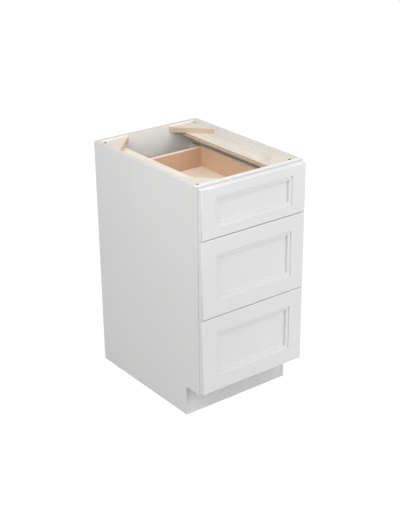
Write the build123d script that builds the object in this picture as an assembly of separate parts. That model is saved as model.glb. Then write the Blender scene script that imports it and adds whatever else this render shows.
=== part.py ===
from build123d import *
import os

# Base cabinet with three drawers, in millimetres.
# The origin is the bottom centre of the whole part: X to the right, Y towards the wall, Z up.
# The drawer fronts look towards -Y.

# Case
cabinet_width = 450.0
cabinet_depth = 604.0
cabinet_height = 876.3
side_thickness = 16.0
back_thickness = 16.0
bottom_thickness = 16.0
dado_depth = 6.0
toe_kick_height = 114.3
toe_kick_recess = 74.0
toe_board_thickness = 12.7
toe_board_gap = 12.3

# Face frame
frame_thickness = 19.05
frame_stile_width = 38.1
frame_rail_height = 38.1
rail_above_gap = 5.3

# Top of the case: two flat stretchers under four corner blocks, a little below the case's edges
corner_block_leg = 120.0
corner_block_drop = 6.3
corner_block_thickness = 20.0
stretcher_width = 73.0
stretcher_thickness = 13.5
top_hole_radius = 6.5
top_hole_inset = 12.0
top_hole_frame_inset = 15.0

# Drawer fronts: five-piece frame-and-panel, full overlay
front_thickness = 19.05
front_side_reveal = 3.0
front_top_reveal = 7.2
front_bottom_reveal = 5.7
front_gap = 3.0
top_front_height = 176.0
front_edge_radius = 2.0
front_stile_flat = 57.15
front_rail_flat = 57.15
top_front_rail_flat = 34.9
bead_width = 13.4
bead_step = 3.5
bead_fall = 0.6
panel_recess = 10.0
tongue_thickness = 5.6
tongue_depth = 8.0
panel_edge_gap = 0.4

# Bumpers between the face frame and the drawer fronts
bumper_gap = 0.6
bumper_radius = 4.75
bumper_inset = 12.0

# Drawer boxes, dovetailed at the corners; the room behind them leaves them 500 mm long
box_back_room = 88.6
box_wall = 15.9
box_lift = 12.7
top_box_headroom = 33.2
middle_box_headroom = 43.5
bottom_box_headroom = 12.1
box_bottom_thickness = 9.0
box_bottom_recess = 12.6
box_groove_depth = 6.0
box_groove_clearance = 0.3
tail_pitch = 33.9
tail_share = 0.6
tail_slope = 0.125

# Full-extension slides: cabinet, intermediate and drawer members of folded sheet
slide_thickness = 12.7
slide_height = 45.7
slide_setback = 2.0
slide_end_overhang = 3.5
slide_centre_height = 50.8
slide_sheet = 1.2
member_lip_setback = 1.6
screw_head_room = 1.8
member_web_room = 1.0
member_nest_setback = 1.0
member_end_setback = 20.0
race_gap = 2.5
cleat_margin = 7.0

# Ball cages in the races between the members
cage_length = 88.0
cage_width = 4.0
cage_sheet = 0.8
ball_clearance = 0.1
ball_pitch = 11.0
outer_cage_start = 300.0
inner_cage_start = 120.0

# Screws
screw_shank_radius = 1.9
screw_head_radius = 3.8
screw_head_height = 1.5
screw_bite = 8.0
screw_hole_clearance = 0.05
slide_screw_inset = 40.0
front_screw_bite = 6.0
front_screw_margin = 15.0
front_screw_inset = 50.0

# Planes of the case
overall_depth = cabinet_depth + bumper_gap + front_thickness
y_fronts = -overall_depth / 2
y_front_backs = y_fronts + front_thickness
y_frame = y_front_backs + bumper_gap
y_frame_back = y_frame + frame_thickness
y_back = overall_depth / 2
y_back_inner = y_back - back_thickness
y_toe = y_frame + toe_kick_recess
x_side = cabinet_width / 2
x_inner = x_side - side_thickness
x_opening = x_side - frame_stile_width
z_bottom_rail_top = toe_kick_height + frame_rail_height
z_floor = z_bottom_rail_top - bottom_thickness
z_top_rail_bottom = cabinet_height - frame_rail_height

# Heights of the fronts, from the bottom up: each has its lower and upper edge
x_front = x_side - front_side_reveal
z_fronts_low = toe_kick_height + front_bottom_reveal
z_fronts_high = cabinet_height - front_top_reveal
z_top_front = z_fronts_high - top_front_height
lower_front_height = (z_top_front - z_fronts_low - 2 * front_gap) / 2
z_middle_front = z_fronts_low + lower_front_height + front_gap
front_heights = {
    "bottom": (z_fronts_low, z_fronts_low + lower_front_height),
    "middle": (z_middle_front, z_middle_front + lower_front_height),
    "top": (z_top_front, z_fronts_high),
}

# The rails between the openings stand a little above the gaps between the fronts
z_lower_rail_top = z_middle_front - front_gap / 2 + rail_above_gap
z_upper_rail_top = z_top_front - front_gap / 2 + rail_above_gap
z_lower_rail_bottom = z_lower_rail_top - frame_rail_height
z_upper_rail_bottom = z_upper_rail_top - frame_rail_height

# Drawer boxes: each has its lower and upper edge
box_heights = {
    "bottom": (z_bottom_rail_top + box_lift, z_lower_rail_bottom - bottom_box_headroom),
    "middle": (z_lower_rail_top + box_lift, z_upper_rail_bottom - middle_box_headroom),
    "top": (z_upper_rail_top + box_lift, z_top_rail_bottom - top_box_headroom),
}
x_box = x_opening - slide_thickness
x_box_inner = x_box - box_wall
y_box = y_front_backs
y_box_end = y_back_inner - box_back_room
y_box_inner = y_box + box_wall
y_box_inner_end = y_box_end - box_wall
y_slide = y_frame + slide_setback
y_slide_end = y_box_end + slide_end_overhang
ball_radius = race_gap / 2 - ball_clearance
screw_hole_radius = screw_shank_radius + screw_hole_clearance

nodes = {}


def block(x0, x1, y0, y1, z0, z1):
    """A box between two corners."""
    centre = Pos((x0 + x1) / 2, (y0 + y1) / 2, (z0 + z1) / 2)
    return centre * Box(abs(x1 - x0), abs(y1 - y0), abs(z1 - z0))


def prism_x(outline, x0, x1):
    """A prism along X from an outline of (y, z) points."""
    face = make_face(Polyline(*[(x0, y, z) for y, z in outline], close=True))
    return extrude(face, amount=x1 - x0, dir=(1, 0, 0))


def prism_y(outline, y0, y1):
    """A prism along Y from an outline of (x, z) points."""
    face = make_face(Polyline(*[(x, y0, z) for x, z in outline], close=True))
    return extrude(face, amount=y1 - y0, dir=(0, 1, 0))


def prism_z(outline, z0, z1):
    """A prism along Z from an outline of (x, y) points."""
    face = make_face(Polyline(*[(x, y, z0) for x, y in outline], close=True))
    return extrude(face, amount=z1 - z0, dir=(0, 0, 1))


def rod_x(x0, x1, y, z, radius):
    """A round rod along X."""
    return Pos((x0 + x1) / 2, y, z) * Rot(0, 90, 0) * Cylinder(radius, abs(x1 - x0))


def rod_y(y0, y1, x, z, radius):
    """A round rod along Y."""
    return Pos(x, (y0 + y1) / 2, z) * Rot(90, 0, 0) * Cylinder(radius, abs(y1 - y0))


def rod_z(z0, z1, x, y, radius):
    """A round rod along Z."""
    return Pos(x, y, (z0 + z1) / 2) * Cylinder(radius, abs(z1 - z0))


def keep(name, *solids):
    """Files one node, made of one solid or of a group of like solids."""
    nodes[name] = solids[0] if len(solids) == 1 else Compound(children=list(solids))


def slide_centre(level):
    """Height of the slides of one drawer."""
    return box_heights[level][0] + slide_centre_height


def slide_screw_places():
    """Where the screws stand along a slide."""
    first = y_slide + slide_screw_inset
    last = y_slide_end - slide_screw_inset
    return (first, (first + last) / 2, last)


# ---------------------------------------------------------------- case


def side_panel(sign):
    """A side with its toe notch, and a dado for the bottom panel."""
    outline = [
        (y_frame_back, toe_kick_height),
        (y_toe, toe_kick_height),
        (y_toe, 0),
        (y_back, 0),
        (y_back, cabinet_height),
        (y_frame_back, cabinet_height),
    ]
    panel = prism_x(outline, sign * x_inner, sign * x_side)
    x_dado = sign * (x_inner + dado_depth)
    dado = block(sign * x_inner, x_dado, y_frame_back, y_back_inner, z_floor, z_bottom_rail_top)
    return panel - dado


def make_case():
    """Sides, back, bottom and toe board."""
    keep("side_panel_left", side_panel(-1))
    keep("side_panel_right", side_panel(1))
    keep("back_panel", block(-x_inner, x_inner, y_back_inner, y_back, 0, cabinet_height))
    x_tongue = x_inner + dado_depth
    keep("bottom_panel", block(-x_tongue, x_tongue, y_frame_back, y_back_inner, z_floor, z_bottom_rail_top))
    z_board = toe_kick_height - toe_board_gap
    keep("toe_kick_board", block(-x_inner, x_inner, y_toe, y_toe + toe_board_thickness, 0, z_board))


def make_face_frame():
    """Two stiles from the toe notch to the top, and four rails between them."""
    stile = (y_frame, y_frame_back, toe_kick_height, cabinet_height)
    keep("frame_stile_left", block(-x_side, -x_opening, *stile))
    keep("frame_stile_right", block(x_opening, x_side, *stile))
    rails = {
        "frame_bottom_rail": (toe_kick_height, z_bottom_rail_top),
        "frame_mid_rail_lower": (z_lower_rail_bottom, z_lower_rail_top),
        "frame_mid_rail_upper": (z_upper_rail_bottom, z_upper_rail_top),
        "frame_top_rail": (z_top_rail_bottom, cabinet_height),
    }
    for name, heights in rails.items():
        keep(name, block(-x_opening, x_opening, y_frame, y_frame_back, *heights))


def make_case_top():
    """A stretcher along each side, and a corner block in each corner on top of them."""
    z_blocks_top = cabinet_height - corner_block_drop
    z_blocks = z_blocks_top - corner_block_thickness
    z_stretchers = z_blocks - stretcher_thickness
    corners = {
        "front": (y_frame_back, 1, y_frame_back + top_hole_frame_inset),
        "back": (y_back_inner, -1, y_back_inner - top_hole_inset),
    }
    for side, x_sign in (("left", -1), ("right", 1)):
        x_corner = x_sign * x_inner
        x_edge = x_sign * (x_inner - stretcher_width)
        stretcher = block(x_edge, x_corner, y_frame_back, y_back_inner, z_stretchers, z_blocks)
        x_hole = x_sign * (x_inner - top_hole_inset)
        for end, (y_corner, y_sign, y_hole) in corners.items():
            outline = [
                (x_corner, y_corner),
                (x_corner - x_sign * corner_block_leg, y_corner),
                (x_corner, y_corner + y_sign * corner_block_leg),
            ]
            corner_block = prism_z(outline, z_blocks, z_blocks_top)
            hole = rod_z(z_stretchers, z_blocks_top, x_hole, y_hole, top_hole_radius)
            keep(f"corner_block_{end}_{side}", corner_block - hole)
            stretcher -= hole
        keep(f"stretcher_{side}", stretcher)


# ---------------------------------------------------------------- slides


def channel(x_sign, x_web, x_lip, half_height, z, y0, y1):
    """A folded channel along Y: x_web and x_lip are its web's outer face and its lips, from the case."""
    inward = 1 if x_lip > x_web else -1

    def place(depth):
        return x_sign * (x_opening - depth)

    web_inner = x_web + inward * slide_sheet
    web = block(place(x_web), place(web_inner), y0, y1, z - half_height, z + half_height)
    for z_sign in (-1, 1):
        z_lip = z + z_sign * half_height
        web += block(place(x_web), place(x_lip), y0, y1, z_lip - z_sign * slide_sheet, z_lip)
    return web


# Depths from the case side of a slide, and half heights of its three members
cabinet_lip = slide_thickness - 2 * member_lip_setback
middle_web = slide_sheet + screw_head_room
middle_lip = slide_thickness - member_lip_setback
drawer_lip = middle_web + slide_sheet + member_web_room
cabinet_half = slide_height / 2
middle_half = cabinet_half - slide_sheet - race_gap
drawer_half = middle_half - slide_sheet - race_gap
y_middle = y_slide + member_nest_setback
y_middle_end = y_slide_end - member_end_setback
y_member = y_slide
y_member_end = y_box_end


def screw_x(x_face, direction, y, z, room):
    """A screw along X with its head on x_face: it bites in the given direction, past the room."""
    head = rod_x(x_face - direction * screw_head_height, x_face, y, z, screw_head_radius)
    return head + rod_x(x_face, x_face + direction * (room + screw_bite), y, z, screw_shank_radius)


def make_cleats_and_cabinet_members():
    """Cleats that fill out the sides to the frame's openings, with the fixed slide members on them."""
    cleats = []
    members = []
    screws = []
    for level in box_heights:
        z = slide_centre(level)
        z_reach = slide_height / 2 + cleat_margin
        for x_sign in (-1, 1):
            x_face = x_sign * (x_opening - slide_sheet)
            x_end = x_sign * (x_opening + screw_bite)
            x_cleat = (x_sign * x_opening, x_sign * x_inner)
            cleat = block(*x_cleat, y_frame_back, y_back_inner, z - z_reach, z + z_reach)
            member = channel(x_sign, 0, cabinet_lip, cabinet_half, z, y_slide, y_slide_end)
            for y in slide_screw_places():
                hole = rod_x(x_face, x_end, y, z, screw_hole_radius)
                cleat -= hole
                member -= hole
                screws.append(screw_x(x_face, x_sign, y, z, slide_sheet))
            cleats.append(cleat)
            members.append(member)
    keep("slide_cleats", *cleats)
    keep("slide_cabinet_members", *members)
    keep("slide_screws", *screws)


def ball_cage(x, z, y0):
    """A strip that holds a row of balls in a race."""
    y1 = y0 + cage_length
    cage = block(x - cage_width / 2, x + cage_width / 2, y0, y1, z - cage_sheet / 2, z + cage_sheet / 2)
    balls = int(cage_length / ball_pitch)
    first = (y0 + y1 - (balls - 1) * ball_pitch) / 2
    for i in range(balls):
        cage += Pos(x, first + i * ball_pitch, z) * Sphere(ball_radius)
    return cage


def make_intermediates(level):
    """The two intermediate slide members of a drawer, with their ball cages."""
    z = slide_centre(level)
    solids = []
    outer_race = (middle_web + cabinet_lip) / 2
    inner_race = (drawer_lip + middle_lip) / 2
    for x_sign in (-1, 1):
        solids.append(channel(x_sign, middle_web, middle_lip, middle_half, z, y_middle, y_middle_end))
        for z_sign in (-1, 1):
            z_outer = z + z_sign * (middle_half + race_gap / 2)
            z_inner = z + z_sign * (drawer_half + race_gap / 2)
            x_outer = x_sign * (x_opening - outer_race)
            x_inner_race = x_sign * (x_opening - inner_race)
            solids.append(ball_cage(x_outer, z_outer, y_slide + outer_cage_start))
            solids.append(ball_cage(x_inner_race, z_inner, y_slide + inner_cage_start))
    keep(f"{level}_slide_intermediates", *solids)


# ---------------------------------------------------------------- drawers


def front_openings(level):
    """Heights at which a front's flat rails end, and those at which its beads end."""
    z0, z1 = front_heights[level]
    rail_flat = top_front_rail_flat if level == "top" else front_rail_flat
    z_flat = (z0 + rail_flat, z1 - rail_flat)
    z_bead = (z_flat[0] + bead_width, z_flat[1] - bead_width)
    return z_flat, z_bead


def front_screw_places(level):
    """Where four screws hold a front to its box: within both its panel and the box's inside."""
    z_box, z_box_top = box_heights[level]
    z_bead = front_openings(level)[1]
    z_box_floor = z_box + box_bottom_recess + box_bottom_thickness
    z_low = max(z_box_floor, z_bead[0]) + front_screw_margin
    z_high = min(z_box_top, z_bead[1]) - front_screw_margin
    x = x_box_inner - front_screw_inset
    return [(sign * x, z) for sign in (-1, 1) for z in (z_low, z_high)]


def make_front(level):
    """A drawer front: two stiles, two rails mitred at the bead, and a panel with a tongue."""
    z0, z1 = front_heights[level]
    z_flat, z_bead = front_openings(level)
    x_flat = x_front - front_stile_flat
    x_bead = x_flat - bead_width
    y_step = y_fronts + bead_step
    y_fall = y_step + bead_fall
    y_panel = y_fronts + panel_recess
    y_tongue = y_panel + tongue_thickness

    slab = block(-x_front, x_front, y_fronts, y_front_backs, z0, z1)
    ring = fillet(slab.faces().sort_by(Axis.Y)[0].edges(), front_edge_radius)
    ring -= block(-x_bead, x_bead, y_fronts, y_front_backs, *z_bead)
    ring -= block(-x_flat, x_flat, y_fronts, y_step, *z_flat)
    across = [(-x_flat, y_step), (x_flat, y_step), (x_bead, y_fall), (-x_bead, y_fall)]
    upright = [(y_step, z_flat[0]), (y_fall, z_bead[0]), (y_fall, z_bead[1]), (y_step, z_flat[1])]
    ring -= prism_z(across, *z_flat) & prism_x(upright, -x_flat, x_flat)
    z_groove = (z_bead[0] - tongue_depth, z_bead[1] + tongue_depth)
    ring -= block(-x_bead - tongue_depth, x_bead + tongue_depth, y_panel, y_tongue, *z_groove)

    for name, z_edge, z_joint, z_inner in (
        ("lower", z0, z_flat[0], z_bead[0]),
        ("upper", z1, z_flat[1], z_bead[1]),
    ):
        half = [(x_flat, z_edge), (x_flat, z_joint), (x_bead, z_inner)]
        outline = half + [(-x, z) for x, z in reversed(half)]
        cutter = prism_y(outline, y_fronts, y_front_backs)
        keep(f"{level}_front_rail_{name}", ring & cutter)
        ring -= cutter
    left, right = ring.solids().sort_by(Axis.X)
    keep(f"{level}_front_stile_left", left)
    keep(f"{level}_front_stile_right", right)

    x_field = x_bead - panel_edge_gap
    z_field = (z_bead[0] + panel_edge_gap, z_bead[1] - panel_edge_gap)
    reach = tongue_depth - panel_edge_gap
    panel = block(-x_field, x_field, y_panel, y_front_backs, *z_field)
    panel += block(-x_bead - reach, x_bead + reach, y_panel, y_tongue, z_bead[0] - reach, z_bead[1] + reach)
    for x, z in front_screw_places(level):
        panel -= rod_y(y_front_backs - front_screw_bite, y_front_backs, x, z, screw_hole_radius)
    keep(f"{level}_front_panel", panel)


def dovetails(level, x_sign, y_end, y_base):
    """The tails at one end of a box side, as prisms through its thickness."""
    z0, z1 = box_heights[level]
    count = max(2, round((z1 - z0) / tail_pitch))
    pitch = (z1 - z0) / count
    half_end = pitch * tail_share / 2
    half_base = half_end - abs(y_end - y_base) * tail_slope
    tails = []
    for i in range(count):
        z = z0 + (i + 0.5) * pitch
        lower = [(y_end, z - half_end), (y_base, z - half_base)]
        upper = [(y_base, z + half_base), (y_end, z + half_end)]
        tails.append(prism_x(lower + upper, x_sign * x_box_inner, x_sign * x_box))
    return tails


def make_box(level):
    """A drawer box: sides with tails, ends with pins, and a bottom in grooves."""
    z0, z1 = box_heights[level]
    z_panel = z0 + box_bottom_recess
    z_panel_top = z_panel + box_bottom_thickness
    reach = box_groove_depth - box_groove_clearance
    x_reach = x_box_inner + reach
    bottom = block(-x_reach, x_reach, y_box_inner - reach, y_box_inner_end + reach, z_panel, z_panel_top)
    keep(f"{level}_box_bottom", bottom)
    x_groove = x_box_inner + box_groove_depth
    y_groove = (y_box_inner - box_groove_depth, y_box_inner_end + box_groove_depth)
    groove = block(-x_groove, x_groove, *y_groove, z_panel, z_panel_top + box_groove_clearance)

    front = block(-x_box, x_box, y_box, y_box_inner, z0, z1) - groove
    back = block(-x_box, x_box, y_box_inner_end, y_box_end, z0, z1) - groove
    z_slide = slide_centre(level)
    for side, x_sign in (("left", -1), ("right", 1)):
        board = block(x_sign * x_box_inner, x_sign * x_box, y_box_inner, y_box_inner_end, z0, z1)
        for tail in dovetails(level, x_sign, y_box, y_box_inner):
            board += tail
            front -= tail
        for tail in dovetails(level, x_sign, y_box_end, y_box_inner_end):
            board += tail
            back -= tail
        for y in slide_screw_places():
            board -= rod_x(x_sign * (x_box - screw_bite), x_sign * x_box, y, z_slide, screw_hole_radius)
        keep(f"{level}_box_side_{side}", board - groove)
    for x, z in front_screw_places(level):
        front -= rod_y(y_box, y_box_inner, x, z, screw_hole_radius)
    keep(f"{level}_box_front", front)
    keep(f"{level}_box_back", back)


def make_drawer_hardware(level):
    """The slide members on a box, and the screws that hold them and the front."""
    z = slide_centre(level)
    members = []
    screws = []
    for x_sign in (-1, 1):
        member = channel(x_sign, slide_thickness, drawer_lip, drawer_half, z, y_member, y_member_end)
        x_face = x_sign * (x_box + slide_sheet)
        for y in slide_screw_places():
            member -= rod_x(x_face, x_sign * x_box, y, z, screw_hole_radius)
            screws.append(screw_x(x_face, -x_sign, y, z, slide_sheet))
        members.append(member)
    for x, z_screw in front_screw_places(level):
        head = rod_y(y_box_inner, y_box_inner + screw_head_height, x, z_screw, screw_head_radius)
        shank = rod_y(y_front_backs - front_screw_bite, y_box_inner, x, z_screw, screw_shank_radius)
        screws.append(head + shank)
    keep(f"{level}_slide_drawer_members", *members)
    keep(f"{level}_drawer_screws", *screws)


def make_bumpers():
    """Four soft bumpers behind each front, on the frame's stiles."""
    bumpers = []
    for z0, z1 in front_heights.values():
        for x in (-x_front + bumper_inset, x_front - bumper_inset):
            for z in (z0 + bumper_inset, z1 - bumper_inset):
                bumpers.append(rod_y(y_front_backs, y_frame, x, z, bumper_radius))
    keep("front_bumpers", *bumpers)


make_case()
make_face_frame()
make_case_top()
make_cleats_and_cabinet_members()
make_bumpers()
for drawer in front_heights:
    make_front(drawer)
    make_box(drawer)
    make_drawer_hardware(drawer)
    make_intermediates(drawer)

os.makedirs("parts", exist_ok=True)
for node, shape in nodes.items():
    export_step(shape, f"parts/{node}.step")
print(len(nodes), "nodes")
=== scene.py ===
"""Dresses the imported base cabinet: eased boards, finishes, hardware, studio and camera."""

import logging
import math
from collections.abc import Iterable, Sequence
from dataclasses import asdict, dataclass, field
from enum import Enum

import bmesh
import bpy
from mathutils import Matrix, Vector


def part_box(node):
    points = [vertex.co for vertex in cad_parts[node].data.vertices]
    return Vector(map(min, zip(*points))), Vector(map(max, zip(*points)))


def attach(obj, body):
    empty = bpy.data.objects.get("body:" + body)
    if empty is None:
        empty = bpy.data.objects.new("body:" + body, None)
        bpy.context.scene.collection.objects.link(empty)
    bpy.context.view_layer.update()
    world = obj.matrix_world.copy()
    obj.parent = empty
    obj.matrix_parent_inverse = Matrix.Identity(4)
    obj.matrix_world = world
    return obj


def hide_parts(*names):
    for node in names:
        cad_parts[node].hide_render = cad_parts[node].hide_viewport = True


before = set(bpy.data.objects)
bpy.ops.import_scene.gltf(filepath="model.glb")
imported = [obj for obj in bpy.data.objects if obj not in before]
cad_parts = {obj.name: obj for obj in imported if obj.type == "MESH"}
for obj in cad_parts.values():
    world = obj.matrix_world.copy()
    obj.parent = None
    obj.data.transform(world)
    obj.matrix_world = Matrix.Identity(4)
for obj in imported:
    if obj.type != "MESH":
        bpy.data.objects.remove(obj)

log = logging.getLogger("cabinet")

Colour = tuple[float, float, float]
MM = 0.001
MERGE = 1e-6
TURN = 2 * math.pi
WHITE = (1.0, 1.0, 1.0, 1.0)
LEVELS = ("top", "middle", "bottom")
SIDES = ("left", "right")
ENDS = ("front", "back")
CABINET = "cabinet"
PLY_SHARE = "ply"
ARRIS = "arris"

# Sockets that share their name with others of the same node, by place.
MIX_SHARE, MIX_FIRST, MIX_SECOND, MIX_RESULT = 0, 6, 7, 2
RANDOM_LOW, RANDOM_HIGH, RANDOM_RESULT = 2, 3, 1


class Axis(Enum):
    """A direction of the frame, as the index of its coordinate."""

    X = 0
    Y = 1
    Z = 2


def stand(name: str, data: bpy.types.ID) -> bpy.types.Object:
    """Puts a new object into the scene.

    Args:
        name: its name.
        data: its mesh, light or camera.

    Returns:
        The object.
    """
    made = bpy.data.objects.new(name, data)
    bpy.context.scene.collection.objects.link(made)
    return made


# ---- node trees


class Sock:
    """A socket of a node tree that Python's operators can work on."""

    def __init__(self, graph: "Graph", socket: bpy.types.NodeSocket) -> None:
        """Holds a socket and the tree that it is in."""
        self.graph = graph
        self.socket = socket

    def out(self, name: str | int) -> "Sock":
        """Another output of the same node, by name or place."""
        return Sock(self.graph, self.socket.node.outputs[name])

    def math(self, kind: str, *values: "Sock | float", clamp: bool = False) -> "Sock":
        """The result of a Math node, kept from 0 to 1 where it is clamped."""
        inputs = dict(enumerate(values))
        return self.graph.node("ShaderNodeMath", inputs, operation=kind, use_clamp=clamp)

    def __add__(self, other: "Sock | float") -> "Sock":
        """Sum."""
        return self.math("ADD", self, other)

    __radd__ = __add__

    def __sub__(self, other: "Sock | float") -> "Sock":
        """Difference."""
        return self.math("SUBTRACT", self, other)

    def __rsub__(self, other: "Sock | float") -> "Sock":
        """Difference the other way round."""
        return self.math("SUBTRACT", other, self)

    def __mul__(self, other: "Sock | float") -> "Sock":
        """Product."""
        return self.math("MULTIPLY", self, other)

    __rmul__ = __mul__

    def __truediv__(self, other: "Sock | float") -> "Sock":
        """Quotient."""
        return self.math("DIVIDE", self, other)

    def __mod__(self, other: "Sock | float") -> "Sock":
        """Remainder, never negative for a positive divisor."""
        return self.math("FLOORED_MODULO", self, other)

    def floor(self) -> "Sock":
        """The whole number below."""
        return self.math("FLOOR", self)

    def absolute(self) -> "Sock":
        """The value without its sign."""
        return self.math("ABSOLUTE", self)

    def sine(self) -> "Sock":
        """Sine of the value."""
        return self.math("SINE", self)

    def cosine(self) -> "Sock":
        """Cosine of the value."""
        return self.math("COSINE", self)

    def wave(self) -> "Sock":
        """The sine of the value, brought to between 0 and 1."""
        return self.sine() * 0.5 + 0.5

    def swing(self, amount: float, middle: float = 0.5) -> "Sock":
        """How far the value lies from its middle, times an amount."""
        return (self - middle) * amount

    def unit(self) -> "Sock":
        """The value kept from 0 to 1."""
        return self.math("MULTIPLY", self, 1.0, clamp=True)

    def smooth(self, low: float, high: float) -> "Sock":
        """A soft step, from 0 at the low edge to 1 at the high one."""
        ends = {"Value": self, "From Min": low, "From Max": high}
        return self.graph.node("ShaderNodeMapRange", ends, interpolation_type="SMOOTHSTEP")


class Graph:
    """A node tree that is built from Python."""

    def __init__(self, tree: bpy.types.NodeTree) -> None:
        """Starts from an empty tree."""
        self.tree = tree
        tree.nodes.clear()

    def node(self, kind: str, inputs: dict | None = None, **settings: object) -> Sock:
        """Adds one node.

        Args:
            kind: the node's type.
            inputs: values or Socks for its sockets, by name or place.
            settings: its own settings, which are set first.

        Returns:
            The node's first output, empty where it has none.
        """
        made = self.tree.nodes.new(kind)
        for key, value in settings.items():
            setattr(made, key, value)
        for key, value in (inputs or {}).items():
            if isinstance(value, Sock):
                self.tree.links.new(value.socket, made.inputs[key])
            else:
                made.inputs[key].default_value = value
        return Sock(self, next(iter(made.outputs), None))


class Paintbox(Graph):
    """The node tree of one material."""

    def __init__(self, name: str, axis: Axis | None = None) -> None:
        """Starts a material.

        Args:
            name: its finish's name.
            axis: the direction that it is made for, if any.
        """
        self.material = bpy.data.materials.new(f"{name}_{axis.name.lower()}" if axis else name)
        self.material.use_nodes = True
        super().__init__(self.material.node_tree)
        self.place = self.node("ShaderNodeTexCoord").out("Object")

    def noise(
        self, scale: float, detail: float = 2.0, twist: float = 0.0,
        grain: Axis | None = None, along: float = 1.0,
    ) -> Sock:
        """Soft noise, drawn out along the grain where there is one.

        Args:
            scale: its spots per metre, across the grain if any.
            detail: how many finer layers it has.
            twist: how far it is distorted.
            grain: the way the grain runs.
            along: its spots per metre that way.

        Returns:
            A value near 0.5, mostly from 0.3 to 0.7.
        """
        inputs = {"Vector": self.place, "Scale": scale, "Detail": detail, "Distortion": twist}
        if grain:
            stretch = tuple(along if axis is grain else scale for axis in Axis)
            stretched = self.node("ShaderNodeMapping", {"Vector": self.place, "Scale": stretch})
            inputs.update({"Vector": stretched, "Scale": 1.0})
        return self.node("ShaderNodeTexNoise", inputs)

    def attribute(self, name: str) -> Sock:
        """A number that the piece's mesh carries."""
        return self.node("ShaderNodeAttribute", attribute_name=name).out("Fac")

    def blend(self, share: Sock, first: Sock | Colour, second: Sock | Colour) -> Sock:
        """Mixes two colours.

        Args:
            share: how much of the second there is.
            first: the colour at 0.
            second: the colour at 1.

        Returns:
            The mixed colour.
        """
        inputs = {MIX_SHARE: share}
        for place, value in ((MIX_FIRST, first), (MIX_SECOND, second)):
            inputs[place] = value if isinstance(value, Sock) else (*value, 1.0)
        made = self.node("ShaderNodeMix", inputs, data_type="RGBA", clamp_factor=True)
        return made.out(MIX_RESULT)

    def mottle(self, mask: Sock, colour: Colour, low: float, high: float) -> Sock:
        """A colour whose shade goes from one factor to another as the mask rises."""
        return self.blend(mask, shade(colour, low), shade(colour, high))

    def tinge(self, body: Sock, mask: Sock, colour: Colour, factor: float) -> Sock:
        """Lays a shade of a colour over another where the mask is."""
        return self.blend(mask, body, shade(colour, factor))

    def bump(self, height: Sock, strength: float, depth: float) -> Sock:
        """A normal roughened by a height from 0 to 1, whose depth is in metres."""
        inputs = {"Height": height, "Strength": strength, "Distance": depth}
        return self.node("ShaderNodeBump", inputs)

    def finish(
        self, body: Sock, rough: Sock, normal: Sock, gloss: float = 0.5, more: dict | None = None
    ) -> bpy.types.Material:
        """Ends the tree in a Principled shader.

        Args:
            body: its base colour.
            rough: its roughness.
            normal: its normal.
            gloss: its specular level.
            more: the values of its other sockets, by name.

        Returns:
            The material.
        """
        inputs = {"Base Color": body, "Roughness": rough.unit(), "Normal": normal}
        inputs.update({"Specular IOR Level": gloss, **(more or {})})
        shader = self.node("ShaderNodeBsdfPrincipled", inputs)
        self.node("ShaderNodeOutputMaterial", {"Surface": shader})
        return self.material


# ---- finishes


def shade(colour: Colour, factor: float) -> Colour:
    """A colour made lighter or darker."""
    return tuple(min(1.0, channel * factor) for channel in colour)


@dataclass(frozen=True)
class SatinPaint:
    """Sprayed satin paint: uneven, with fine orange peel, and painted shade above a height if
    given.
    """

    name: str
    colour: Colour
    roughness: float = 0.42
    gloss: float = 0.45
    # painted shade: from this height up the colour is darkened by the factor, blended over the
    # blur
    shaded_above: float | None = None
    shaded_factor: float = 0.7
    shaded_blur: float = 2 * MM

    def material(self, grain: Axis) -> bpy.types.Material:
        """Makes the paint for boards that run one way.

        Args:
            grain: the way the boards run.

        Returns:
            The material.
        """
        box = Paintbox(self.name, grain)
        clouds = box.noise(scale=2.6, detail=3.0)
        specks = box.noise(scale=150.0)
        arris = box.attribute(ARRIS)
        body = box.mottle(clouds.smooth(0.3, 0.7), self.colour, low=0.975, high=1.012)
        body = box.tinge(body, specks.smooth(0.62, 0.75) * 0.12, self.colour, factor=0.95)
        # painted highlight: the eased arrises are lighter, as if catching the light
        body = box.tinge(body, arris * 0.5, self.colour, factor=1.04)
        # painted shade: darker above the given height, standing in for shade that falls there
        if self.shaded_above:
            height = box.node("ShaderNodeSeparateXYZ", {0: box.place}).out("Z")
            ends = (self.shaded_above - self.shaded_blur, self.shaded_above + self.shaded_blur)
            body = box.tinge(body, height.smooth(*ends), self.colour, self.shaded_factor)
        fibres = box.noise(scale=420.0, detail=3.0, grain=grain, along=12.0)
        peel = box.noise(scale=700.0, detail=1.0)
        rough = self.roughness + clouds.swing(0.22) + specks.swing(0.1) - arris * 0.06
        normal = box.bump(fibres * 0.55 + peel * 0.45, strength=0.25, depth=0.04 * MM)
        return box.finish(body, rough, normal, self.gloss)


@dataclass(frozen=True)
class Laminate:
    """A white sheet face: soft unevenness and a fine pebble."""

    name: str
    colour: Colour
    roughness: float = 0.5
    gloss: float = 0.4

    def material(self, grain: Axis) -> bpy.types.Material:
        """Makes the sheet's face.

        Args:
            grain: the way its faint grain runs.

        Returns:
            The material.
        """
        box = Paintbox(self.name, grain)
        broad = box.noise(scale=3.2, twist=0.3, grain=grain, along=1.4)
        fine = box.noise(scale=260.0)
        pebble = box.noise(scale=900.0, detail=1.0)
        streaks = box.noise(scale=160.0, grain=grain, along=14.0)
        body = box.mottle(broad.smooth(0.3, 0.7), self.colour, low=0.988, high=1.01)
        body = box.tinge(body, fine.smooth(0.4, 0.7) * 0.3, self.colour, factor=0.975)
        body = box.tinge(body, box.attribute(ARRIS) * 0.6, self.colour, factor=0.95)
        rough = self.roughness + broad.swing(0.16) + fine.swing(0.1)
        normal = box.bump(pebble * 0.7 + streaks * 0.3, strength=0.25, depth=0.03 * MM)
        return box.finish(body, rough, normal, self.gloss)


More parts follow.
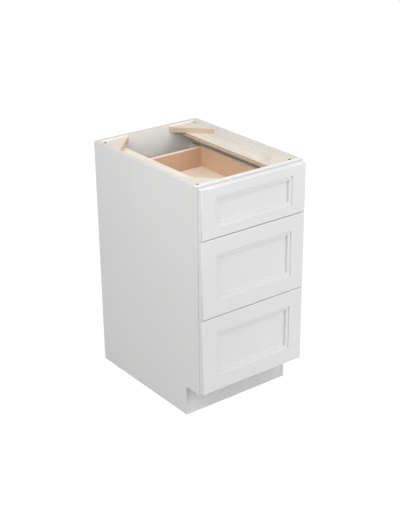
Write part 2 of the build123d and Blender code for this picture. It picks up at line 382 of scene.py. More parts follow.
@dataclass(frozen=True)
class PlyEdge:
    """The edge of a sheet of plywood: plies across and along, with thin glue lines."""

    name: str
    pale: Colour
    dark: Colour
    plies: int = 9
    seam_shade: float = 0.8
    roughness: float = 0.72
    gloss: float = 0.25

    def material(self, through: Axis) -> bpy.types.Material:
        """Makes the edge of sheets that lie one way.

        Args:
            through: the way through the sheet's thickness.

        Returns:
            The material.
        """
        box = Paintbox(self.name, through)
        depth = box.attribute(PLY_SHARE) * self.plies + box.noise(scale=60.0).swing(0.3)
        turned = (depth.floor() % 2.0).unit()
        seam = 1.0 - ((depth % 1.0) - 0.5).absolute().smooth(0.36, 0.49)
        fibres = box.noise(scale=28.0, detail=3.0, grain=through, along=500.0)
        pores = box.noise(scale=1100.0)
        streaked = box.mottle(fibres.smooth(0.35, 0.65), self.pale, low=0.9, high=1.06)
        pored = box.mottle(pores.smooth(0.4, 0.62), self.dark, low=0.82, high=1.1)
        body = box.blend(turned, streaked, pored)
        body = box.blend(seam, shade(self.dark, self.seam_shade), body)
        rough = self.roughness + pores.swing(0.3)
        height = seam * 0.5 + pores * turned * 0.3 + fibres * 0.2
        normal = box.bump(height, strength=0.5, depth=0.15 * MM)
        return box.finish(body, rough, normal, self.gloss)


@dataclass(frozen=True)
class Veneer:
    """A wood face: growth bands, fibres and pores along the grain."""

    name: str
    pale: Colour
    dark: Colour
    band_width: float = 30 * MM
    band_share: float = 0.3
    roughness: float = 0.6
    coat: float = 0.0
    pore_share: float = 0.1
    drift: float = 0.3
    gloss: float = 0.35
    coat_roughness: float = 0.25

    def material(self, grain: Axis) -> bpy.types.Material:
        """Makes the wood for boards that run one way.

        Args:
            grain: the way the boards run.

        Returns:
            The material.
        """
        box = Paintbox(self.name, grain)
        drift = box.noise(scale=7.0, twist=0.6, grain=grain, along=1.3)
        bands = (drift * (TURN * self.drift / self.band_width)).wave()
        fibres = box.noise(scale=330.0, detail=4.0, grain=grain, along=9.0)
        pores = box.noise(scale=1500.0, grain=grain, along=60.0)
        patches = box.noise(scale=11.0, detail=1.0, grain=grain, along=2.0)
        tone = bands * self.band_share + fibres * (1.0 - self.band_share)
        pitted = pores.smooth(0.58, 0.68) * self.pore_share
        body = box.blend(tone.smooth(0.22, 0.8), self.dark, self.pale)
        body = box.tinge(body, patches.smooth(0.4, 0.62) * 0.22, self.pale, factor=1.08)
        body = box.tinge(body, pitted, self.dark, factor=0.62)
        # painted highlight: the eased arrises are lighter, as if catching the light
        body = box.tinge(body, box.attribute(ARRIS) * 0.35, self.pale, factor=1.1)
        rough = self.roughness + fibres.swing(0.3) + pitted * 0.2
        height = fibres * 0.6 - pitted * 0.8 + bands * 0.15
        normal = box.bump(height, strength=0.4, depth=0.09 * MM)
        coat = {"Coat Weight": self.coat, "Coat Roughness": self.coat_roughness}
        return box.finish(body, rough, normal, self.gloss, coat)


@dataclass(frozen=True)
class EndGrain:
    """Wood cut across its fibres: rings and fine pores."""

    name: str
    pale: Colour
    dark: Colour
    ring_pace: float = 120.0
    roughness: float = 0.66
    gloss: float = 0.25

    def material(self, grain: Axis) -> bpy.types.Material:
        """Makes the cut face of boards that run one way.

        Args:
            grain: the way the boards run.

        Returns:
            The material.
        """
        box = Paintbox(self.name, grain)
        rings = (box.noise(scale=9.0, twist=0.5) * self.ring_pace).wave()
        pores = box.noise(scale=1600.0)
        body = box.blend(rings * 0.6 + pores * 0.4, self.dark, self.pale)
        body = box.tinge(body, pores.smooth(0.55, 0.66) * 0.5, self.dark, factor=0.6)
        rough = self.roughness + pores.swing(0.3)
        normal = box.bump(pores, strength=0.4, depth=0.1 * MM)
        return box.finish(body, rough, normal, self.gloss)


@dataclass(frozen=True)
class PlatedSteel:
    """Zinc-plated steel: faint crystals, drawing lines and handling marks."""

    name: str
    colour: Colour
    roughness: float = 0.34

    def material(self, drawn: Axis = Axis.Y) -> bpy.types.Material:
        """Makes the metal.

        Args:
            drawn: the way its drawing lines run.

        Returns:
            The material.
        """
        box = Paintbox(self.name)
        spread = {"Vector": box.place, "Scale": 260.0}
        crystals = box.node("ShaderNodeTexVoronoi", spread)
        lines = box.noise(scale=900.0, detail=3.0, grain=drawn, along=18.0)
        smears = box.noise(scale=22.0, detail=3.0)
        body = box.mottle(smears.smooth(0.35, 0.65), self.colour, low=0.93, high=1.05)
        # painted highlight: the eased arrises are much lighter, a painted glint on the steel
        body = box.tinge(body, box.attribute(ARRIS) * 0.5, self.colour, factor=1.25)
        marks = crystals.swing(0.12, middle=0.4) + lines.swing(0.24) + smears.swing(0.12)
        normal = box.bump(lines * 0.8 + crystals * 0.2, strength=0.25, depth=0.03 * MM)
        return box.finish(body, self.roughness + marks, normal, more={"Metallic": 1.0})


@dataclass(frozen=True)
class SoftBumper:
    """A cast soft plastic, slightly cloudy."""

    name: str
    colour: Colour
    roughness: float = 0.3
    cloudiness: float = 0.25
    light_reach: float = 2 * MM
    light_radius: Colour = (1.0, 0.9, 0.8)

    def material(self) -> bpy.types.Material:
        """Makes the plastic.

        Returns:
            The material.
        """
        box = Paintbox(self.name)
        haze = box.noise(scale=320.0)
        dust = box.noise(scale=1400.0, detail=1.0)
        body = box.mottle(haze.smooth(0.35, 0.65), self.colour, low=0.9, high=1.06)
        normal = box.bump(dust, strength=0.2, depth=0.04 * MM)
        depths = {
            "Subsurface Weight": self.cloudiness,
            "Subsurface Scale": self.light_reach,
            "Subsurface Radius": self.light_radius,
        }
        return box.finish(body, self.roughness + dust * 0.25, normal, more=depths)


Finish = SatinPaint | Laminate | PlyEdge | Veneer | EndGrain | PlatedSteel | SoftBumper

PAINT = SatinPaint("painted_white", (0.805, 0.805, 0.80))
# painted shade: edges, tops and sides get a darker paint than the front faces, for how light
# falls on them
PAINT_EDGE_SHADE = SatinPaint("painted_edge_shade", (0.785, 0.785, 0.78), roughness=0.5)
# painted shade: a darker paint on the upper rails' edges, toning down their highlight
PAINT_CROWN_SHADE = SatinPaint("painted_crown_shade", (0.74, 0.74, 0.735), roughness=0.5)
# painted shade: a darker paint on the lower rails' edges, toning down their lit upward steps
PAINT_LEDGE_SHADE = SatinPaint("painted_ledge_shade", (0.70, 0.70, 0.695), roughness=0.5)
# painted shade: the frame rails' front faces are darker, as if in the fronts' shade
FRAME_FRONT_SHADE = SatinPaint("painted_frame_shade", (0.63, 0.63, 0.625), roughness=0.5)
# painted light and shade: the stiles' front faces, lighter than the paint, with painted shade
# above 868 mm
FRAME_STRIP_LIGHT_SHADE = SatinPaint(
    "painted_stile_light_shade", (0.83, 0.83, 0.825), shaded_above=868 * MM, shaded_factor=0.76
)
SHEET = Laminate("panel_white", (0.785, 0.785, 0.778))
LINING = Laminate("lining_white", (0.80, 0.805, 0.80))
SIDE_LINING = Laminate("side_lining_white", (0.745, 0.745, 0.735))
PANEL_EDGE = PlyEdge("panel_edge", (0.76, 0.71, 0.675), (0.68, 0.625, 0.585), seam_shade=0.88)
BIRCH = Veneer("birch_face", (0.735, 0.68, 0.60), (0.665, 0.60, 0.515))
# painted light: a paler copy of the blocks' birch, making up for less light reaching the lower
# stretchers
RAIL_BIRCH_LIT = Veneer("birch_rail_lit_face", (0.80, 0.745, 0.67), (0.73, 0.665, 0.585))
BIRCH_EDGE = PlyEdge("birch_edge", (0.80, 0.665, 0.51), (0.58, 0.44, 0.31))
RAIL_EDGE = PlyEdge("birch_rail_edge", (0.88, 0.77, 0.63), (0.42, 0.31, 0.21), plies=5)
# painted shade: end grain darkened far past its own colour, standing in for the shade inside the
# bores
BORE = EndGrain("bored_birch_shade", (0.30, 0.23, 0.17), (0.20, 0.15, 0.11))
BOX_WOOD = Veneer(
    "drawer_wood", (0.665, 0.45, 0.31), (0.62, 0.41, 0.275),
    band_width=20 * MM, roughness=0.45, coat=0.2, pore_share=0.12,
)
BOX_EDGE = PlyEdge("drawer_edge", (0.93, 0.82, 0.68), (0.84, 0.69, 0.54), seam_shade=0.85)
BOX_SHEET = Veneer(
    "drawer_plywood", (0.89, 0.80, 0.69), (0.85, 0.75, 0.63),
    roughness=0.48, coat=0.2, pore_share=0.08,
)
ZINC = PlatedSteel("zinc_steel", (0.62, 0.63, 0.64))
SCREW = PlatedSteel("screw_steel", (0.50, 0.50, 0.49), roughness=0.28)
RUBBER = SoftBumper("bumper_rubber", (0.75, 0.75, 0.73))


class Store:
    """Keeps each finish's material, so that a finish is made once for each direction."""

    def __init__(self) -> None:
        """Starts empty."""
        self.made: dict[tuple, bpy.types.Material] = {}

    def get(self, finish: Finish, axis: Axis | None = None) -> bpy.types.Material:
        """The material of a finish.

        Args:
            finish: which finish.
            axis: the way its grain or thickness runs, where it has one.

        Returns:
            The material.
        """
        key = (finish.name, axis)
        if key not in self.made:
            self.made[key] = finish.material(axis) if axis else finish.material()
        return self.made[key]


# ---- workshop


class Surface(Enum):
    """A kind of face on a board, as the index of its material."""

    FACE = 0
    EDGE = 1
    BACK = 2
    BORE = 3
    FRONT = 4


@dataclass
class Faces:
    """Which finish each face of a board gets."""

    face: Finish
    grain: Axis
    edge: Finish | None = None
    through: Axis | None = None
    back: Finish | None = None
    back_sign: int = 1
    front: Finish | None = None
    bore: Finish | None = None
    bores: tuple[Vector, ...] = ()
    bore_reach: float = 7 * MM
    facing: float = 0.7
    upright: float = 0.5

    def materials(self, store: Store) -> list[bpy.types.Material]:
        """The board's materials, in the order of Surface.

        Args:
            store: where the materials are kept.

        Returns:
            One for each kind of face, the face's own where it has no other.
        """
        main = store.get(self.face, self.grain)
        edge = store.get(self.edge, self.through) if self.edge else main
        others = (self.back, self.bore, self.front)
        return [main, edge, *(store.get(one, self.grain) if one else main for one in others)]

    def bored(self, polygon: bpy.types.MeshPolygon) -> bool:
        """Whether a face is the wall of one of the board's upright bores."""
        offsets = [(polygon.center.to_2d() - bore).length for bore in self.bores]
        return abs(polygon.normal.z) < self.upright and min(offsets) < self.bore_reach

    def surface(self, polygon: bpy.types.MeshPolygon) -> Surface:
        """The kind of a face.

        Args:
            polygon: the face.

        Returns:
            Its kind.
        """
        normal = polygon.normal
        if self.bore and self.bored(polygon):
            return Surface.BORE
        if self.front and normal.y < -self.facing:
            return Surface.FRONT
        if self.edge and abs(normal[self.through.value]) < self.facing:
            return Surface.EDGE
        if self.back and normal[self.through.value] * self.back_sign > self.facing:
            return Surface.BACK
        return Surface.FACE

    def sort(self, mesh: bpy.types.Mesh) -> None:
        """Gives each face of a mesh the index of its material."""
        for polygon in mesh.polygons:
            polygon.material_index = self.surface(polygon).value


def merged(node: str) -> bmesh.types.BMesh:
    """Copies a CAD node's mesh and joins its triangles.

    Args:
        node: the node's name.

    Returns:
        The copy.
    """
    copy = bmesh.new()
    copy.from_mesh(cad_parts[node].data)
    bmesh.ops.remove_doubles(copy, verts=copy.verts, dist=MERGE)
    return copy


def islands(mesh: bmesh.types.BMesh) -> list[list[bmesh.types.BMVert]]:
    """Splits a mesh's points into its separate solids.

    Args:
        mesh: the mesh.

    Returns:
        The points of each solid.
    """
    left = set(mesh.verts)
    found = []
    for start in mesh.verts:
        if start not in left:
            continue
        left.discard(start)
        island = [start]
        for vert in island:  # which grows as it is walked
            near = left & {edge.other_vert(vert) for edge in vert.link_edges}
            left -= near
            island.extend(near)
        found.append(island)
    return found


def applied(holder: bpy.types.Object) -> bpy.types.Mesh:
    """The mesh that an object's modifiers make, as a plain mesh.

    Args:
        holder: the object.

    Returns:
        The mesh.
    """
    bpy.context.view_layer.update()
    graph = bpy.context.evaluated_depsgraph_get()
    shown = holder.evaluated_get(graph)
    return bpy.data.meshes.new_from_object(shown, preserve_all_data_layers=True, depsgraph=graph)


@dataclass
class Workshop:
    """Makes finished pieces from the frame's nodes."""

    store: Store = field(default_factory=Store)
    flat_angle: float = math.radians(0.5)
    arris_angle: float = math.radians(50)
    smooth_angle: float = math.radians(40)
    shortest_arris: float = 6 * MM
    bevel_steps: int = 2
    bevel_profile: float = 0.5

    def ease(self, copy: bmesh.types.BMesh, width: float) -> None:
        """Rounds a solid's long outer arrises, and marks their faces.

        Args:
            copy: the solid.
            width: how far the rounding reaches from the arris.
        """
        mark = copy.faces.layers.float.new(ARRIS)
        edges = [
            edge
            for edge in copy.edges
            if len(edge.link_faces) == 2
            and edge.calc_face_angle_signed() > self.arris_angle
            and edge.calc_length() > self.shortest_arris
        ]
        if not edges:
            return
        steps = {"segments": self.bevel_steps, "profile": self.bevel_profile}
        settings = {"offset": width, "affect": "EDGES", "clamp_overlap": True, **steps}
        made = bmesh.ops.bevel(copy, geom=edges, **settings)
        for face in made["faces"]:
            face[mark] = 1.0

    def share_thickness(self, copy: bmesh.types.BMesh, through: Axis) -> None:
        """Gives each point its place through its own sheet, from 0 to 1.

        Args:
            copy: one or more sheets.
            through: the way through them.
        """
        share = copy.verts.layers.float.new(PLY_SHARE)
        for island in islands(copy):
            places = [vert.co[through.value] for vert in island]
            low, high = min(places), max(places)
            for vert in island:
                vert[share] = (vert.co[through.value] - low) / max(high - low, MERGE)

    def level_normals(self, mesh: bpy.types.Mesh) -> bpy.types.Mesh:
        """Smooths a mesh's small faces and keeps its large ones flat.

        Args:
            mesh: the mesh.

        Returns:
            A copy with its own normals.
        """
        for polygon in mesh.polygons:
            polygon.use_smooth = True
        mesh.set_sharp_from_angle(angle=self.smooth_angle)
        holder = stand("holder", mesh)
        weighted = holder.modifiers.new("weighted", "WEIGHTED_NORMAL")
        weighted.keep_sharp = True
        made = applied(holder)
        bpy.data.objects.remove(holder)
        return made

    def piece(
        self, name: str, mesh: bpy.types.Mesh, materials: Iterable[bpy.types.Material],
        body: str, slot: str, node: str,
    ) -> None:
        """Stands a finished mesh on its body, in place of a CAD node, which it hides.

        Args:
            name: the piece's name.
            mesh: its final mesh.
            materials: its materials, in the order of its faces' indices.
            body: the CAD body that it rides on.
            slot: the record's material slot; not used.
            node: the CAD node that it replaces.
        """
        for material in materials:
            mesh.materials.append(material)
        made = stand(name, mesh)
        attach(made, body)
        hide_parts(node)
        log.info("piece %s on %s: %d faces", name, body, len(mesh.polygons))

    def board(
        self, node: str, body: str, slot: str, faces: Faces, arris: float, faceted: bool = False
    ) -> None:
        """Replaces a node by the same board with eased arrises and finished faces.

        Args:
            node: the node's name.
            body: the body that it rides on.
            slot: the record's material slot.
            faces: its finishes.
            arris: how far its arrises are rounded.
            faceted: whether its roundings keep their many small flats.
        """
        copy = merged(node)
        bounds = {"verts": copy.verts, "edges": copy.edges}
        bmesh.ops.dissolve_limit(copy, angle_limit=self.flat_angle, **bounds)
        copy.normal_update()
        self.ease(copy, arris)
        if faces.through:
            self.share_thickness(copy, faces.through)
        mesh = bpy.data.meshes.new(f"{node}_mesh")
        copy.to_mesh(mesh)
        copy.free()
        if not faceted:
            mesh = self.level_normals(mesh)
        faces.sort(mesh)
        self.piece(f"{node}_board", mesh, faces.materials(self.store), body, slot, node)


# ---- hardware


@dataclass
class Assembly:
    """Pieces that belong together and come out of one workshop."""

    shop: Workshop


@dataclass(frozen=True)
class Turned:
    """The form of a small turned piece: a domed head, a cross recess and a shank."""

    radius: float
    height: float
    rim: float
    shank: float = 0.0
    recess: float = 0.0
    recess_depth: float = 0.0

    def sizes(self) -> dict[str, float]:
        """Its sizes, under the titles of the tree's inputs."""
        return {key.replace("_", " ").title(): size for key, size in asdict(self).items()}


PAN_HEAD = Turned(
    radius=3.8 * MM, height=1.5 * MM, rim=0.55 * MM,
    shank=1.9 * MM, recess=4.2 * MM, recess_depth=0.9 * MM,
)
DOT = Turned(radius=4.75 * MM, height=0.6 * MM, rim=0.3 * MM)


class TurnedTree(Graph):
    """A Geometry Nodes tree that sets one turned piece at each point of a mesh."""

    around: int = 28
    along: int = 21
    shank_sides: int = 14
    floor_end: float = 0.25
    rim_end: float = 0.4
    recess_share: float = 0.24

    def __init__(self, name: str, form: Turned) -> None:
        """Builds the tree.

        Args:
            name: its name.
            form: its inputs' titles, and whether it has a shank and a recess.
        """
        group = bpy.data.node_groups.new(name, "GeometryNodeTree")
        super().__init__(group)
        self.group = group
        self.declare("Points", "NodeSocketGeometry")
        for title in form.sizes():
            self.declare(title, "NodeSocketFloat")
        self.declare("Seed", "NodeSocketInt")
        self.declare("Material", "NodeSocketMaterial")
        group.interface.new_socket("Pieces", in_out="OUTPUT", socket_type="NodeSocketGeometry")
        self.given = self.node("NodeGroupInput")
        head = self.recessed(self.head()) if form.recess else self.head()
        placed = [self.placed(head, None)]
        if form.shank:
            reach = self.named("reach", "FLOAT")
            placed.append(self.placed(self.shank(), self.vector(1.0, 1.0, reach)))
        join = self.node("GeometryNodeJoinGeometry")
        for part in placed:
            self.tree.links.new(part.socket, join.socket.node.inputs[0])
        real = self.node("GeometryNodeRealizeInstances", {"Geometry": join})
        inputs = {"Geometry": real, "Material": self.given.out("Material")}
        dressed = self.node("GeometryNodeSetMaterial", inputs)
        self.node("NodeGroupOutput", {"Pieces": dressed})

    def declare(self, title: str, kind: str) -> None:
        """Adds a named input to the tree."""
        self.group.interface.new_socket(title, in_out="INPUT", socket_type=kind)

    def vector(self, x: Sock | float, y: Sock | float, z: Sock | float) -> Sock:
        """A vector of three numbers."""
        return self.node("ShaderNodeCombineXYZ", {0: x, 1: y, 2: z})

    def named(self, name: str, kind: str) -> Sock:
        """An attribute of the points."""
        return self.node("GeometryNodeInputNamedAttribute", {"Name": name}, data_type=kind)

    def head(self) -> Sock:
        """Turns the head from a sheet: its floor, its rim and its dome.

        Returns:
            The closed head, standing on its seat.
        """
        inputs = {"Size X": 1.0, "Size Y": 1.0}
        counts = {"Vertices X": self.around + 1, "Vertices Y": self.along}
        sheet = self.node("GeometryNodeMeshGrid", {**inputs, **counts})
        place = self.node("ShaderNodeSeparateXYZ", {0: self.node("GeometryNodeInputPosition")})
        turn = (place.out("X") + 0.5) * TURN
        share = place.out("Y") + 0.5
        floor = (share / self.floor_end).unit()
        rim = ((share - self.floor_end) / (self.rim_end - self.floor_end)).unit()
        dome = ((share - self.rim_end) / (1.0 - self.rim_end)).unit() * (TURN / 4)
        out = self.given.out("Radius") * floor * dome.cosine()
        rise = self.given.out("Height") - self.given.out("Rim")
        up = self.given.out("Rim") * rim + rise * dome.sine()
        position = self.vector(out * turn.cosine(), out * turn.sine(), up)
        moved = {"Geometry": sheet, "Position": position}
        turned = self.node("GeometryNodeSetPosition", moved)
        return self.node("GeometryNodeMergeByDistance", {"Geometry": turned, "Distance": MERGE})

    def recessed(self, head: Sock) -> Sock:
        """Cuts a cross into a head.

        Args:
            head: the head.

        Returns:
            The head with its recess.
        """
        wide, depth = self.given.out("Recess"), self.given.out("Recess Depth")
        thin = wide * self.recess_share
        lift = self.vector(0.0, 0.0, self.given.out("Height"))
        settings = {"operation": "DIFFERENCE", "solver": "EXACT"}
        cut = self.node("GeometryNodeMeshBoolean", {"Mesh 1": head}, **settings)
        for x, y in ((wide, thin), (thin, wide)):
            size = self.vector(x, y, depth * 2.0)
            bar = self.node("GeometryNodeMeshCube", {"Size": size})
            tool = self.node("GeometryNodeTransform", {"Geometry": bar, "Translation": lift})
            self.tree.links.new(tool.socket, cut.socket.node.inputs["Mesh 2"])
        return cut

    def shank(self) -> Sock:
        """Makes a shank one metre long under the seat, to be scaled to its reach.

        Returns:
            The shank.
        """
        sizes = {"Vertices": self.shank_sides, "Radius": self.given.out("Shank"), "Depth": 1.0}
        rod = self.node("GeometryNodeMeshCylinder", sizes)
        sunk = {"Geometry": rod, "Translation": (0.0, 0.0, -0.5)}
        return self.node("GeometryNodeTransform", sunk)

    def placed(self, part: Sock, scale: Sock | None) -> Sock:
        """Sets a part at each point, aimed along the point's direction and spun at random.

        Args:
            part: the part.
            scale: its scale at each point.

        Returns:
            The instances.
        """
        aim = {"Vector": self.named("aim", "FLOAT_VECTOR")}
        rotation = self.node("FunctionNodeAlignRotationToVector", aim, axis="Z")
        inputs = {"Points": self.given.out("Points"), "Instance": part, "Rotation": rotation}
        if scale:
            inputs["Scale"] = scale
        instances = self.node("GeometryNodeInstanceOnPoints", inputs)
        chance = {RANDOM_LOW: 0.0, RANDOM_HIGH: TURN, "Seed": self.given.out("Seed")}
        drawn = self.node("FunctionNodeRandomValue", chance, data_type="FLOAT")
        spin = self.vector(0.0, 0.0, drawn.out(RANDOM_RESULT))
        turn = self.node("FunctionNodeEulerToRotation", {0: spin})
        spun = {"Instances": instances, "Rotation": turn, "Local Space": True}
        return self.node("GeometryNodeRotateInstances", spun)


@dataclass
class Hardware(Assembly):
    """The small turned pieces of one CAD node, each set where the node has one."""

    node: str
    body: str
    slot: str
    finish: Finish
    form: Turned
    seed: int = 7
    head_margin: float = 1.3

    def build(self) -> None:
        """Replaces the node by its turned pieces."""
        tree = TurnedTree(f"{self.node}_tree", self.form)
        holder = stand(f"{self.node}_points", self.points())
        modifier = holder.modifiers.new("turned", "NODES")
        modifier.node_group = tree.group
        material = self.shop.store.get(self.finish)
        given = {**self.form.sizes(), "Seed": self.seed, "Material": material}
        for item in tree.group.interface.items_tree:
            if item.in_out == "INPUT" and item.name in given:
                modifier[item.identifier] = given[item.name]
        mesh = applied(holder)
        holder.modifiers.remove(modifier)
        bpy.data.objects.remove(holder)
        mesh = self.shop.level_normals(mesh)
        mesh.materials.clear()
        name = f"{self.node}_turned"
        self.shop.piece(name, mesh, [material], self.body, self.slot, self.node)

    def points(self) -> bpy.types.Mesh:
        """Marks the seat of each of the node's solids.

        Returns:
            One point on each seat, with its direction and its reach.
        """
        copy = merged(self.node)
        seats = [self.seat([vert.co.copy() for vert in island]) for island in islands(copy)]
        copy.free()
        mesh = bpy.data.meshes.new(f"{self.node}_seats")
        mesh.from_pydata([place for place, _, _ in seats], [], [])
        mesh.attributes.new("aim", "FLOAT_VECTOR", "POINT")
        mesh.attributes.new("reach", "FLOAT", "POINT")
        for index, (_, aim, reach) in enumerate(seats):
            mesh.attributes["aim"].data[index].vector = aim
            mesh.attributes["reach"].data[index].value = reach
        return mesh

    def seat(self, points: Sequence[Vector]) -> tuple[Vector, Vector, float]:
        """Finds how one turned solid stands.

        Args:
            points: the solid's points.

        Returns:
            The middle of its head's seat, the way its head looks, and how far its shank reaches.
        """
        low = Vector(min(point[i] for point in points) for i in range(3))
        high = Vector(max(point[i] for point in points) for i in range(3))
        size = high - low
        pick = max if self.form.shank else min
        along = pick(range(3), key=lambda i: size[i])
        aim, place = Vector((0, 0, 0)), (low + high) / 2
        if not self.form.shank:
            aim[along], place[along] = -1.0, high[along]
            return place, aim, 0.0
        thick = self.form.shank * self.head_margin
        wide = [point[along] for point in points if self.off_axis(point - place, along) > thick]
        if max(wide) > high[along] - self.form.height / 2:
            aim[along], place[along] = 1.0, high[along] - self.form.height
        else:
            aim[along], place[along] = -1.0, low[along] + self.form.height
        return place, aim, size[along] - self.form.height

    def off_axis(self, offset: Vector, along: int) -> float:
        """How far a point lies from an axis through the origin."""
        offset[along] = 0.0
        return offset.length


# ---- sub-assemblies


@dataclass
class Case(Assembly):
    """Sides, back, bottom, toe board and the slides' cleats."""

    arris: float = 0.4 * MM

    def build(self) -> None:
        """Makes the case's boards."""
        for side, inward in (("left", 1), ("right", -1)):
            lined = {"back": SIDE_LINING, "back_sign": inward, "front": PAINT_EDGE_SHADE}
            faces = Faces(SHEET, Axis.Z, PANEL_EDGE, Axis.X, **lined)
            self.shop.board(f"side_panel_{side}", CABINET, "panel_white", faces, self.arris)
        panels = {
            "back_panel": Faces(SHEET, Axis.Z, PANEL_EDGE, Axis.Y, back=LINING, back_sign=-1),
            "bottom_panel": Faces(LINING, Axis.X, PANEL_EDGE, Axis.Z),
            "toe_kick_board": Faces(SHEET, Axis.X, PANEL_EDGE, Axis.Y),
        }
        for node, faces in panels.items():
            self.shop.board(node, CABINET, "panel_white", faces, self.arris)
        cleats = Faces(BIRCH, Axis.Y, BIRCH_EDGE, Axis.X)
        self.shop.board("slide_cleats", CABINET, "birch_plywood", cleats, self.arris)


@dataclass
class FaceFrame(Assembly):
    """Two stiles and four rails, painted."""

    arris: float = 0.7 * MM
    stiles: tuple[str, ...] = ("stile_left", "stile_right")
    rails: tuple[str, ...] = ("bottom_rail", "mid_rail_lower", "mid_rail_upper", "top_rail")

    def build(self) -> None:
        """Makes the frame's members."""
        stile = Faces(PAINT, Axis.Z, PAINT_EDGE_SHADE, Axis.Y, back=FRAME_STRIP_LIGHT_SHADE, back_sign=-1)
        rail = Faces(PAINT, Axis.X, PAINT_EDGE_SHADE, Axis.Y, back=FRAME_FRONT_SHADE, back_sign=-1)
        for names, faces in ((self.stiles, stile), (self.rails, rail)):
            for name in names:
                self.shop.board(f"frame_{name}", CABINET, "painted_white", faces, self.arris)


@dataclass
class CaseTop(Assembly):
    """Stretchers and corner blocks of bare plywood, with painted shade on the walls of all bores
    but one.
    """

    arris: float = 0.35 * MM
    bore_inset: float = 12 * MM
    frame_inset: float = 15 * MM
    # the corner whose bore walls keep plain birch, without the painted shade
    clean: tuple[str, str] = ("right", "back")

    def bore(self, side: str, end: str) -> Vector:
        """Where the bore of a corner stands.

        Args:
            side: left or right.
            end: front or back.

        Returns:
            Its X and Y.
        """
        low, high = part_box(f"corner_block_{end}_{side}")
        x = low[0] + self.bore_inset if side == "left" else high[0] - self.bore_inset
        y = low[1] + self.frame_inset if end == "front" else high[1] - self.bore_inset
        return Vector((x, y))

    def build(self) -> None:
        """Makes the stretchers and blocks."""
        for side in SIDES:
            bores = tuple(self.bore(side, end) for end in ENDS if (side, end) != self.clean)
            rail = Faces(RAIL_BIRCH_LIT, Axis.Y, RAIL_EDGE, Axis.Z, bore=BORE, bores=bores)
            block = Faces(BIRCH, Axis.X, BIRCH_EDGE, Axis.Z, bore=BORE, bores=bores)
            boards = {f"stretcher_{side}": rail}
            boards.update({f"corner_block_{end}_{side}": block for end in ENDS})
            for node, faces in boards.items():
                self.shop.board(node, CABINET, "birch_plywood", faces, self.arris)


@dataclass
class Drawer(Assembly):
    """One drawer: its framed front, its dovetailed box and its slide members."""

    level: str
    front_arris: float = 0.25 * MM
    box_arris: float = 0.5 * MM
    steel_arris: float = 0.3 * MM

    @property
    def body(self) -> str:
        """The body that the drawer rides on."""
        return f"{self.level}_drawer"

    def build(self) -> None:
        """Makes the drawer's front, its box and its slide members."""
        self.build_front()
        self.build_box()
        self.build_slides()

    def board(self, part: str, slot: str, faces: Faces, arris: float, **more: bool) -> None:
        """Replaces one of the drawer's nodes by a board."""
        self.shop.board(f"{self.level}_{part}", self.body, slot, faces, arris, **more)

    def build_front(self) -> None:
        """Makes the front's stiles, rails and panel."""
        stile = Faces(PAINT, Axis.Z, PAINT_EDGE_SHADE, Axis.Y)
        members = {
            "front_stile_left": stile,
            "front_stile_right": stile,
            "front_rail_lower": Faces(PAINT, Axis.X, PAINT_LEDGE_SHADE, Axis.Y),
            "front_rail_upper": Faces(PAINT, Axis.X, PAINT_CROWN_SHADE, Axis.Y),
        }
        for part, faces in members.items():
            self.board(part, "painted_white", faces, self.front_arris, faceted=True)
        panel = Faces(PAINT, Axis.X, PAINT_EDGE_SHADE, Axis.Y)
        self.board("front_panel", "painted_white", panel, self.front_arris)

    def build_box(self) -> None:
        """Makes the box's four walls and its bottom."""
        side = Faces(BOX_WOOD, Axis.Y, BOX_EDGE, Axis.X)
        end = Faces(BOX_WOOD, Axis.X, BOX_EDGE, Axis.Y)
        walls = {"side_left": side, "side_right": side, "front": end, "back": end}
        for wall, faces in walls.items():
            self.board(f"box_{wall}", "drawer_wood", faces, self.box_arris)
        bottom = Faces(BOX_SHEET, Axis.Y, BIRCH_EDGE, Axis.Z)
        self.board("box_bottom", "drawer_plywood", bottom, self.box_arris)

    def build_slides(self) -> None:
        """Makes the moving slide members and the drawer's screws."""
        steel = Faces(ZINC, Axis.Y)
        self.board("slide_drawer_members", "zinc_steel", steel, self.steel_arris)
        node, body = f"{self.level}_slide_intermediates", f"{self.level}_slide"
        self.shop.board(node, body, "zinc_steel", steel, self.steel_arris)
        screws = f"{self.level}_drawer_screws"
        Hardware(self.shop, screws, self.body, "screw_steel", SCREW, PAN_HEAD).build()


@dataclass
class Fittings(Assembly):
    """The slides' fixed members, their screws and the bumpers behind the fronts."""

    steel_arris: float = 0.3 * MM

    def build(self) -> None:
        """Makes the fittings."""
        node, steel = "slide_cabinet_members", Faces(ZINC, Axis.Y)
        self.shop.board(node, CABINET, "zinc_steel", steel, self.steel_arris)
        turned = (
            ("slide_screws", "screw_steel", SCREW, PAN_HEAD),
            ("front_bumpers", "bumper_rubber", RUBBER, DOT),
        )
        for node, slot, finish, form in turned:
            Hardware(self.shop, node, CABINET, slot, finish, form).build()


# ---- studio


@dataclass(frozen=True)
class Lamp:
    """One soft square lamp."""

    name: str
    place: tuple[float, float, float]
    aim: tuple[float, float, float]
    size: float
    watts: float

    def hang(self) -> None:
        """Hangs the lamp in its place, facing its aim."""
        data = bpy.data.lights.new(self.name, "AREA")
        data.shape = "SQUARE"
        data.size = self.size
        data.energy = self.watts
        facing = (Vector(self.aim) - Vector(self.place)).to_track_quat("-Z", "Y")
        turn = facing.to_matrix().to_4x4()
        stand(self.name, data).matrix_world = Matrix.Translation(self.place) @ turn


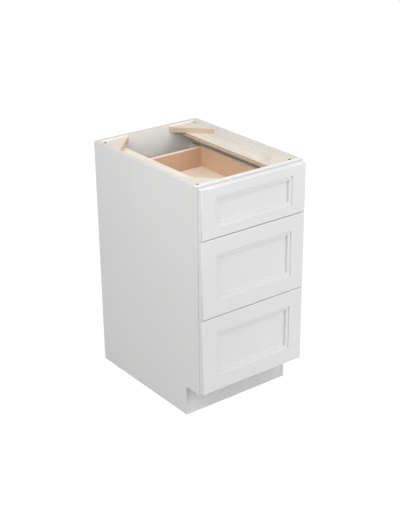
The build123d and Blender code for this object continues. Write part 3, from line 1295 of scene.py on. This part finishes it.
@dataclass
class Studio:
    """Floor, light, white surroundings and the camera at the photograph's view."""

    image: tuple[int, int] = (400, 532)
    eye: tuple[float, float, float] = (-2.2547, -3.01165, 2.1327)
    right: tuple[float, float, float] = (0.78472, -0.61985, -0.00009)
    up: tuple[float, float, float] = (0.26539, 0.33585, 0.90375)
    focal_pixels: float = 1138.692
    centre: tuple[float, float] = (225.966, 287.432)
    sensor: float = 36.0
    clip: tuple[float, float] = (0.05, 200.0)
    floor_half: float = 30.0
    floor_colour: Colour = (0.5, 0.5, 0.5)
    floor_glow: float = 0.9
    glow_strength: float = 1.1
    ambient: float = 0.58
    direct_rays: tuple[str, ...] = ("Camera", "Glossy", "Transmission")
    lamps: tuple[Lamp, ...] = (
        Lamp("front", (1.95, -3.15, 1.95), (0.0, 0.0, 0.45), size=2.2, watts=59.0),
        Lamp("side", (-1.65, -0.7, 2.2), (-0.2, 0.0, 0.75), size=1.4, watts=24.5),
        Lamp("overhead", (0.0, -0.2, 3.4), (0.0, 0.0, 0.8), size=2.4, watts=12.5),
    )

    def build(self) -> None:
        """Sets the whole studio up."""
        self.place_camera()
        self.lay_floor()
        self.set_world()
        for lamp in self.lamps:
            lamp.hang()
        bpy.context.scene.view_settings.view_transform = "Standard"

    def place_camera(self) -> None:
        """Puts the camera where the photograph was taken from."""
        data = bpy.data.cameras.new("camera")
        data.sensor_fit = "AUTO"
        data.sensor_width = self.sensor
        (wide, high), (x, y) = self.image, self.centre
        long_side = max(wide, high)
        data.lens = self.focal_pixels * self.sensor / long_side
        data.shift_x = (wide / 2 - x) / long_side
        data.shift_y = (y - high / 2) / long_side
        data.clip_start, data.clip_end = self.clip
        right = Vector(self.right).normalized()
        back = right.cross(Vector(self.up)).normalized()
        up = back.cross(right).normalized()
        turn = Matrix((right, up, back)).transposed()
        camera = stand("camera", data)
        camera.matrix_world = Matrix.Translation(self.eye) @ turn.to_4x4()
        bpy.context.scene.camera = camera

    def seen_directly(self, box: Graph) -> Sock:
        """1 for rays from the camera, a mirror or a glass, and 0 for the rest."""
        rays = box.node("ShaderNodeLightPath")
        return sum(rays.out(f"Is {kind} Ray") for kind in self.direct_rays).unit()

    def lay_floor(self) -> None:
        """Lays a pale floor that shows white and keeps the object's shadow."""
        mesh = bpy.data.meshes.new("floor")
        half = self.floor_half
        corners = [(-half, -half, 0), (half, -half, 0), (half, half, 0), (-half, half, 0)]
        mesh.from_pydata(corners, [], [(0, 1, 2, 3)])
        box = Paintbox("floor_white")
        matt = box.node("ShaderNodeBsdfDiffuse", {"Color": (*self.floor_colour, 1.0)})
        glow = box.node("ShaderNodeEmission", {"Color": WHITE, "Strength": self.glow_strength})
        share = self.seen_directly(box) * self.floor_glow
        mixed = box.node("ShaderNodeMixShader", {0: share, 1: matt, 2: glow})
        box.node("ShaderNodeOutputMaterial", {"Surface": mixed})
        mesh.materials.append(box.material)
        stand("floor", mesh)

    def set_world(self) -> None:
        """Surrounds the object with even light that shows white to the camera."""
        world = bpy.data.worlds.new("surroundings")
        world.use_nodes = True
        box = Graph(world.node_tree)
        light = box.node("ShaderNodeBackground", {"Color": WHITE, "Strength": self.ambient})
        white = box.node("ShaderNodeBackground", {"Color": WHITE, "Strength": 1.0})
        share = self.seen_directly(box)
        mixed = box.node("ShaderNodeMixShader", {0: share, 1: light, 2: white})
        box.node("ShaderNodeOutputWorld", {"Surface": mixed})
        bpy.context.scene.world = world


def main() -> None:
    """Builds every sub-assembly, then the studio."""
    logging.basicConfig(level=logging.INFO, format="%(name)s: %(message)s")
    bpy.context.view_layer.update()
    shop = Workshop()
    Case(shop).build()
    FaceFrame(shop).build()
    CaseTop(shop).build()
    for level in LEVELS:
        Drawer(shop, level).build()
    Fittings(shop).build()
    Studio().build()
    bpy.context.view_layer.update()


if __name__ == "__main__":
    main()
